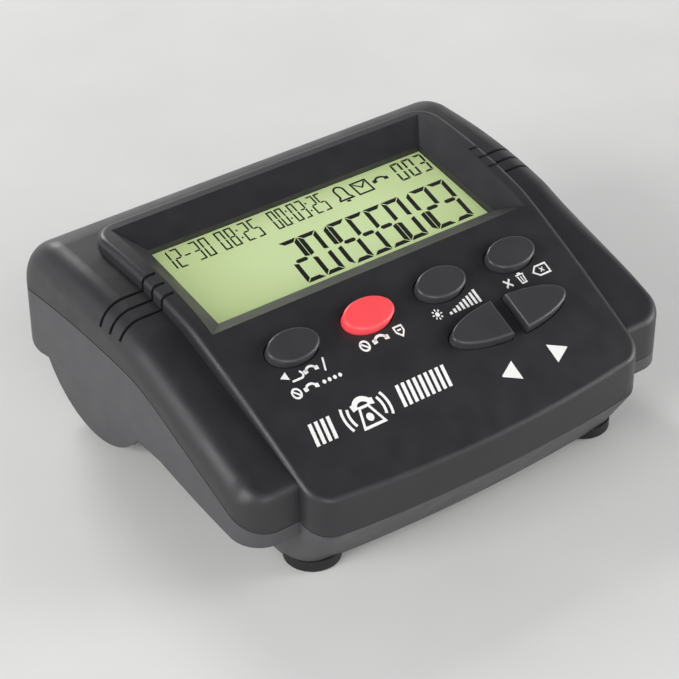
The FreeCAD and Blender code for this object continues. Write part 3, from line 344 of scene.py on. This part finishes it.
def raised(name, bands, surface, low_mm, high_mm, finish_material, body):
    """Closes bands into thin plates between two heights over a surface, as one piece on a body."""
    points, faces, start = [], [], 0
    for flat, quads in bands:
        corner = flat[quads]
        turn = np.cross(corner[:, 1] - corner[:, 0], corner[:, 2] - corner[:, 0]).sum()
        quads = quads if turn > 0 else quads[:, ::-1]
        count = len(flat)
        edges = np.concatenate([quads[:, [k, (k + 1) % 4]] for k in range(4)])
        key = {(a, b) for a, b in edges.tolist()}
        rim = np.array([e for e in edges.tolist() if (e[1], e[0]) not in key])
        top, bottom = quads + start, quads[:, ::-1] + start + count
        wall = np.stack([rim[:, 1], rim[:, 0], rim[:, 0] + count, rim[:, 1] + count], 1) + start
        faces.append(np.concatenate([top, bottom, wall]))
        points.append(np.concatenate([surface(flat[:, 0], flat[:, 1], high_mm), surface(flat[:, 0], flat[:, 1], low_mm)]))
        start += 2 * count
    mesh = bpy.data.meshes.new(name)
    mesh.from_pydata(np.concatenate(points).tolist(), [], np.concatenate(faces).tolist())
    mesh.materials.append(finish_material)
    made = bpy.data.objects.new(name, mesh)
    bpy.context.scene.collection.objects.link(made)
    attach(made, body)
    return made


# The crest is straight across, so its height depends on y alone; it is read from the cover along the middle.
cover_tree = BVHTree.FromPolygons([v.co for v in nodes["top_cover"].data.vertices],
                                  [p.vertices for p in nodes["top_cover"].data.polygons])
cover_low, cover_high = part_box("top_cover")
CREST_Y = np.linspace(cover_low.y + 3 * MM, -12 * MM, 160)
CREST_Z = np.array([cover_tree.ray_cast(Vector((0, y, 0.1)), Vector((0, 0, -1)))[0].z for y in CREST_Y])


def on_crest(x, y, lift):
    """Point on the panel: x and y as in the frame, lift above the cover, all mm."""
    y = np.asarray(y, float) * MM
    return np.stack([np.asarray(x, float) * MM, y, np.interp(y, CREST_Y, CREST_Z) + lift * MM], -1)


SIGN = 0.42                 # stroke of the key signs
LOW, HIGH = -0.02, 0.045    # ink film, from just under the skin to its top


def dashes(x, gap, count, y0, y1, width):
    """A row of upright dashes."""
    return [plate(x + k * gap, x + k * gap + width, y0, y1, 3) for k in range(count)]


def back_sign(x, y):
    """Return arrow: a hooked line with a head; all 2.4 mm high."""
    hook = np.concatenate([[(x + 0.6, y + 1.7)], [(x + 3.9, y + 1.7)], arc(x + 3.9, y + 0.95, 0.75, 90, -90, 9),
                           [(x + 1.6, y + 0.2)]])
    return [stroke(hook, SIGN), strip([(x + 1.3, y + 2.6), (x - 0.4, y + 1.74)], [(x + 1.3, y + 0.8), (x - 0.4, y + 1.66)])]


def barred(x, y, radius=1.0):
    """Ring with a bar across it: nothing gets through."""
    reach = radius * 0.7
    return [ring(x, y, radius, SIGN), stroke([(x - reach, y + reach), (x + reach, y - reach)], SIGN * 0.9)]


def handset(x, y, size, width, lean=0.0):
    """Telephone handset: a bowed grip with a cup hanging from each end, leaning by an angle."""
    turn = math.radians(lean)
    grip = arc(0, -0.95, 1.3, 155, 25, 13)
    cups = [strip([(side * 1.62, -0.02), (side * 1.55, -0.75)], [(side * 0.78, 0.16), (side * 0.72, -0.62)])
            for side in (-1, 1)]
    rotate = np.array([[math.cos(turn), math.sin(turn)], [-math.sin(turn), math.cos(turn)]])
    return moved([(p @ rotate, q) for p, q in [stroke(grip, width)] + cups], x, y, size)


def dots(x, y, count, pitch=1.35, radius=0.42):
    """A row of dots: a number that is kept back."""
    return [disc(x + k * pitch, y, radius) for k in range(count)]


def shield(x, y):
    """Shield outline with a bar across it."""
    edge = [(x - 1.0, y + 1.1), (x + 1.0, y + 1.1), (x + 1.0, y - 0.1), (x, y - 1.2), (x - 1.0, y - 0.1)]
    return [stroke(edge, 0.36, True), plate(x - 0.5, x + 0.5, y + 0.1, y + 0.42)]


def rub_out(x, y):
    """Five-sided rub-out sign, pointing left, with a cross in it."""
    edge = [(x, y), (x + 1.2, y + 1.1), (x + 4.1, y + 1.1), (x + 4.1, y - 1.1), (x + 1.2, y - 1.1)]
    return [stroke(edge, 0.36, True)] + moved(cross(0, 0), x + 2.4, y, 0.55)


def sun(x, y):
    """Disc with eight rays."""
    rays = [stroke([(x + r0 * math.cos(a), y + r0 * math.sin(a)) for r0 in (0.8, 1.25)], 0.28)
            for a in np.radians(np.arange(0, 360, 45))]
    return [disc(x, y, 0.52)] + rays


def cross(x, y, reach=0.85):
    return [stroke([(x - reach, y + reach), (x + reach, y - reach)], SIGN),
            stroke([(x - reach, y - reach), (x - 0.15, y - 0.15)], SIGN),
            stroke([(x + 0.15, y + 0.15), (x + reach, y + reach)], SIGN)]


def bin_sign(x, y):
    """Waste bin: tapered body, lid and handle."""
    body = stroke([(x - 0.75, y + 0.55), (x - 0.6, y - 1.15), (x + 0.6, y - 1.15), (x + 0.75, y + 0.55)], 0.32)
    return [body, plate(x - 1.05, x + 1.05, y + 0.72, y + 1.0), plate(x - 0.4, x + 0.4, y + 1.05, y + 1.3),
            plate(x - 0.14, x + 0.14, y - 0.85, y + 0.4)]


def bars(x, y, count):
    """Rising bars, as on a brightness scale."""
    return [plate(x + k * 1.15, x + k * 1.15 + 0.62, y - 1.2, y - 0.6 + 0.36 * k, 3) for k in range(count)]


ROW_Y = -21.8               # middle of the key signs
SECOND_Y = -25.1
key_signs = (
    back_sign(-34.7, ROW_Y - 1.0) + handset(-27.9, ROW_Y + 0.35, 1.15, 0.42)
    + [stroke([(-25.1, ROW_Y - 1.35), (-24.0, ROW_Y + 1.35)], SIGN)]
    + barred(-33.9, SECOND_Y, 1.0) + handset(-30.2, SECOND_Y + 0.35, 1.15, 0.42) + dots(-26.9, SECOND_Y, 4)
    + barred(-13.9, ROW_Y, 1.05) + handset(-9.7, ROW_Y + 0.4, 1.3, 0.42) + shield(-4.6, ROW_Y)
    + sun(5.6, ROW_Y) + bars(8.4, ROW_Y, 8)
    + cross(25.4, ROW_Y) + bin_sign(29.2, ROW_Y) + rub_out(32.6, ROW_Y)
    + [wedge(14.0, 9.9, -38.7, 2.1), wedge(23.9, 28.1, -38.7, 2.1)])
raised("key_signs", key_signs, on_crest, LOW, HIGH, screen_ink, "case")

# Plain mark on the panel: a desk telephone that rings, between two runs of leaning bars.
MARK_LOW, MARK_HIGH, MARK_X, MARK_Y = -36.2, -31.6, -22.6, -33.9
MARK_LEAN = 0.2
upright_bars = dashes(0.0, 1.5, 4, 0.0, MARK_HIGH - MARK_LOW, 0.85)
longer_run = dashes(0.0, 1.5, 9, 0.0, MARK_HIGH - MARK_LOW, 0.85)
mark = moved(upright_bars, -36.9, MARK_LOW, 1.0, MARK_LEAN) + moved(longer_run, -14.5, MARK_LOW, 1.0, MARK_LEAN)
mark += handset(MARK_X, MARK_Y + 2.2, 1.75, 0.62)
mark += [stroke([(MARK_X - 1.1, MARK_Y + 1.1), (MARK_X + 1.1, MARK_Y + 1.1), (MARK_X + 2.6, MARK_Y - 3.0),
                 (MARK_X - 2.6, MARK_Y - 3.0)], 0.55, True), disc(MARK_X, MARK_Y - 1.2, 0.85)]
for reach in (4.2, 5.6):
    mark += [stroke(arc(MARK_X, MARK_Y, reach, 180 - 26, 180 + 26, 9), 0.62),
             stroke(arc(MARK_X, MARK_Y, reach, -26, 26, 9), 0.62)]
raised("panel_mark", mark, on_crest, LOW, HIGH, screen_ink, "case")

# ---------------------------------------------------------------- display
# Seven-segment figures: which bars are on, in the order top, upper left, upper right, middle, lower left, lower right, low.
ON = {"0": "1110111", "1": "0010010", "2": "1011101", "3": "1011011", "4": "0111010", "5": "1101011",
      "6": "1101111", "7": "1010010", "8": "1111111", "9": "1111011"}


def figure(char, width, height, bar, gap):
    """Bars of one figure with its lower left at 0: trapezia mitred at 45 degrees, the middle one a long hexagon."""
    w, h, m, b, g = width, height, height / 2, bar, gap
    top = strip([(g, h), (w - g, h)], [(b + g, h - b), (w - b - g, h - b)])
    low = strip([(b + g, b), (w - b - g, b)], [(g, 0), (w - g, 0)])
    mid = strip([(b * 0.6 + g, m), (b + g, m + b / 2), (w - b - g, m + b / 2), (w - b * 0.6 - g, m)],
                [(b * 0.6 + g, m - 0.01), (b + g, m - b / 2), (w - b - g, m - b / 2), (w - b * 0.6 - g, m - 0.01)])
    upright = lambda x, inner, y0, y1, cut0, cut1: strip([(x, y0 + cut0), (x, y1 - cut1)],
                                                         [(inner, y0 + b - cut0), (inner, y1 - b + cut1)])
    half = b / 2
    upper_left = strip([(0, m + g + half * 0.3), (0, h - g)], [(b, m + g + half), (b, h - b - g)])
    upper_right = strip([(w - b, m + g + half), (w - b, h - b - g)], [(w, m + g + half * 0.3), (w, h - g)])
    lower_left = strip([(0, g), (0, m - g - half * 0.3)], [(b, b + g), (b, m - g - half)])
    lower_right = strip([(w - b, b + g), (w - b, m - g - half)], [(w, g), (w, m - g - half * 0.3)])
    bands = (top, upper_left, upper_right, mid, lower_left, lower_right, low)
    return [band for band, on in zip(bands, ON[char]) if on == "1"]


def figures(text, x, y, width, height, bar, gap, pitch, narrow, lean):
    """A line of figures from x; a 1 takes narrow instead of pitch, and a colon or dash its own small marks."""
    bands = []
    for char in text:
        if char in ON:
            shift = narrow - pitch if char == "1" else 0.0
            bands += moved(figure(char, width, height, bar, gap), x + shift, y, 1.0, lean)
            x += narrow if char == "1" else pitch
        elif char == ":":
            bands += moved([plate(0, bar, height * 0.25, height * 0.25 + bar * 1.2),
                            plate(0, bar, height * 0.68, height * 0.68 + bar * 1.2)], x, y, 1.0, lean)
            x += bar * 2.4
        elif char == "-":
            bands += moved([plate(0, width * 0.75, height / 2 - bar / 2, height / 2 + bar / 2)], x, y, 1.0, lean)
            x += pitch * 0.85
        else:
            x += pitch * 0.6
    return bands


LEAN = 0.115
crystal = figures("2015550123", -13.4, 0.75, 4.9, 13.9, 1.15, 0.16, 5.1, 2.85, LEAN)
crystal += figures("12-30 08:25", -35.6, 18.6, 1.95, 6.2, 0.42, 0.02, 2.6, 1.4, 0.06)
crystal += figures("00:03:25", -8.5, 18.6, 1.75, 6.2, 0.42, 0.02, 2.2, 1.3, 0.06)
crystal += figures("003", 26.1, 18.5, 2.45, 6.2, 0.55, 0.1, 3.3, 1.7, 0.09)
# Bold row between them: a bell, an envelope and a handset
ICON_Y = 21.7
bell = [stroke(np.concatenate([[(9.3, ICON_Y - 1.7)], [(9.9, ICON_Y - 1.0)], arc(11.1, ICON_Y + 1.3, 1.25, 180, 0, 11),
                               [(12.3, ICON_Y - 1.0)], [(12.9, ICON_Y - 1.7)]]), 0.5),
        plate(9.0, 13.2, ICON_Y - 2.3, ICON_Y - 1.75), plate(10.6, 11.6, ICON_Y - 3.0, ICON_Y - 2.4)]
envelope = [stroke([(14.6, ICON_Y - 2.2), (18.6, ICON_Y - 2.2), (18.6, ICON_Y + 1.8), (14.6, ICON_Y + 1.8)], 0.5, True),
            stroke([(15.0, ICON_Y + 1.4), (16.6, ICON_Y - 0.3), (18.2, ICON_Y + 1.4)], 0.4)]
crystal += bell + envelope + handset(21.9, ICON_Y + 0.3, 1.35, 0.42)
ACROSS, UP = 1.1, 1.33 + SHIFT   # from the figures' own zero to the middle and near edge of the glass
raised("display_figures", moved(crystal, ACROSS, UP), on_glass, FACE - 0.01, FACE + 0.02, dark_crystal, "case")



def rounded_plate(name, half_x, half_s, corner, low, high, edge, material, replaced):
    """Rounded outline carried through a profile: outline (x, s) = corner middle + radius * (cos t, sin t), drawn in by
    the edge's quarter circle as it rises, and closed by a flat face above and below."""
    turn = np.radians(np.arange(0, 360, 10) + 5.0)
    bend = np.radians(np.linspace(0, 90, 5))
    inset = np.concatenate([[0.0], edge * (1 - np.cos(bend))])
    lift = np.concatenate([[low], high - edge + edge * np.sin(bend)])
    x = np.sign(np.cos(turn)) * (half_x - corner) + corner * np.cos(turn)
    s = GLASS_LENGTH_MM / 2 + np.sign(np.sin(turn)) * (half_s - corner) + corner * np.sin(turn)
    rings = [on_glass(x - np.cos(turn) * d, s - np.sin(turn) * d, np.full(len(turn), h)) for d, h in zip(inset, lift)]
    around, layers = len(turn), len(rings)
    here = np.arange(around)
    after = (here + 1) % around
    walls = np.concatenate([np.stack([here, after, after + around, here + around], 1) + k * around
                            for k in range(layers - 1)])
    mesh = bpy.data.meshes.new(name)
    mesh.from_pydata(np.concatenate(rings).tolist(), [],
                     walls.tolist() + [here[::-1].tolist(), (here + around * (layers - 1)).tolist()])
    mesh.materials.append(material)
    made = bpy.data.objects.new(name, mesh)
    bpy.context.scene.collection.objects.link(made)
    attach(made, "case")
    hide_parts(replaced)


# The lit field stands up into the opening, level with its floor, and a clear cover lies over it.
rounded_plate("display_panel", OPENING_HALF - 0.08, OPENING_LENGTH / 2 - 0.08, 0.15, -GLASS_T_MM, FACE, 0.05,
              lit_crystal, "display_glass")
rounded_plate("window_pane", OPENING_HALF - 0.08, OPENING_LENGTH / 2 - 0.08, 0.15, FACE + 0.04, FACE + 0.13, 0.03,
              hard_coat, "display_window")

# ---------------------------------------------------------------- floor, light and camera
floor_material, floor_shader = finish("studio_paper", "#E4E4E2", 0.85)
mottle(floor_material, floor_shader, "#E2E2E0", "#E7E7E5", 40.0)
FLOOR = 3.0
floor_mesh = bpy.data.meshes.new("studio_floor")
floor_mesh.from_pydata([(-FLOOR, -FLOOR, 0), (FLOOR, -FLOOR, 0), (FLOOR, FLOOR, 0), (-FLOOR, FLOOR, 0)], [], [(0, 1, 2, 3)])
floor_mesh.materials.append(floor_material)
floor = bpy.data.objects.new("studio_floor", floor_mesh)
bpy.context.scene.collection.objects.link(floor)

world = bpy.data.worlds.new("studio")
bpy.context.scene.world = world
world.use_nodes = True
# Sky of a studio with a dark ceiling and pale walls: bright at the horizon, dim overhead.
sky_height = add(world.node_tree, "SeparateXYZ", {"Vector": add(world.node_tree, "TexCoord").outputs["Generated"]})
sky = add(world.node_tree, "ValToRGB", {"Fac": sky_height.outputs["Z"]})
sky.color_ramp.elements[0].position, sky.color_ramp.elements[0].color = 0.25, linear("#FAFAFC")
sky.color_ramp.elements[1].position, sky.color_ramp.elements[1].color = 0.8, linear("#3C3D40")
backdrop = world.node_tree.nodes["Background"]
world.node_tree.links.new(sky.outputs[0], backdrop.inputs["Color"])
backdrop.inputs["Strength"].default_value = 1.0

MIDDLE = Vector((0, 0, 0.02))


def softbox(name, azimuth, elevation, distance, size, watts):
    """Square area light on a sphere round the object, aimed at its middle."""
    a, e = math.radians(azimuth), math.radians(elevation)
    out = Vector((math.sin(a) * math.cos(e), -math.cos(a) * math.cos(e), math.sin(e)))
    lamp = bpy.data.lights.new(name, "AREA")
    lamp.size, lamp.energy = size, watts
    made = bpy.data.objects.new(name, lamp)
    made.location = MIDDLE + out * distance
    made.rotation_mode = "QUATERNION"
    made.rotation_quaternion = (-out).to_track_quat("-Z", "Y")
    bpy.context.scene.collection.objects.link(made)


softbox("left_softbox", -85, 22, 1.0, 0.6, 8.0)
softbox("right_softbox", 60, 14, 1.2, 0.6, 8.0)
softbox("front_softbox", -10, 12, 1.2, 0.5, 4.0)
softbox("rear_softbox", 172, 30, 1.2, 0.3, 5.0)

# Camera: direction and distance from the aim point, with a long lens.
AZIMUTH, ELEVATION, DISTANCE = math.radians(-36.742), math.radians(35.002), 0.501425
AIM = Vector((-3.361 * MM, 1.2 * MM, 20.0 * MM))
ROLL = math.radians(-0.113)
back = Vector((math.sin(AZIMUTH) * math.cos(ELEVATION), -math.cos(AZIMUTH) * math.cos(ELEVATION), math.sin(ELEVATION)))
right = (-back).cross(Vector((0, 0, 1))).normalized()
up = right.cross(-back)
turned_right = right * math.cos(ROLL) + up * math.sin(ROLL)
turned_up = up * math.cos(ROLL) - right * math.sin(ROLL)
lens = bpy.data.cameras.new("view_camera")
lens.lens, lens.sensor_width = 119.56, 36.0
camera = bpy.data.objects.new("view_camera", lens)
bpy.context.scene.collection.objects.link(camera)
pose = Matrix((turned_right, turned_up, back)).transposed().to_4x4()
pose.translation = AIM + back * DISTANCE
camera.matrix_world = pose
bpy.context.scene.camera = camera
bpy.context.scene.view_settings.view_transform = "Standard"
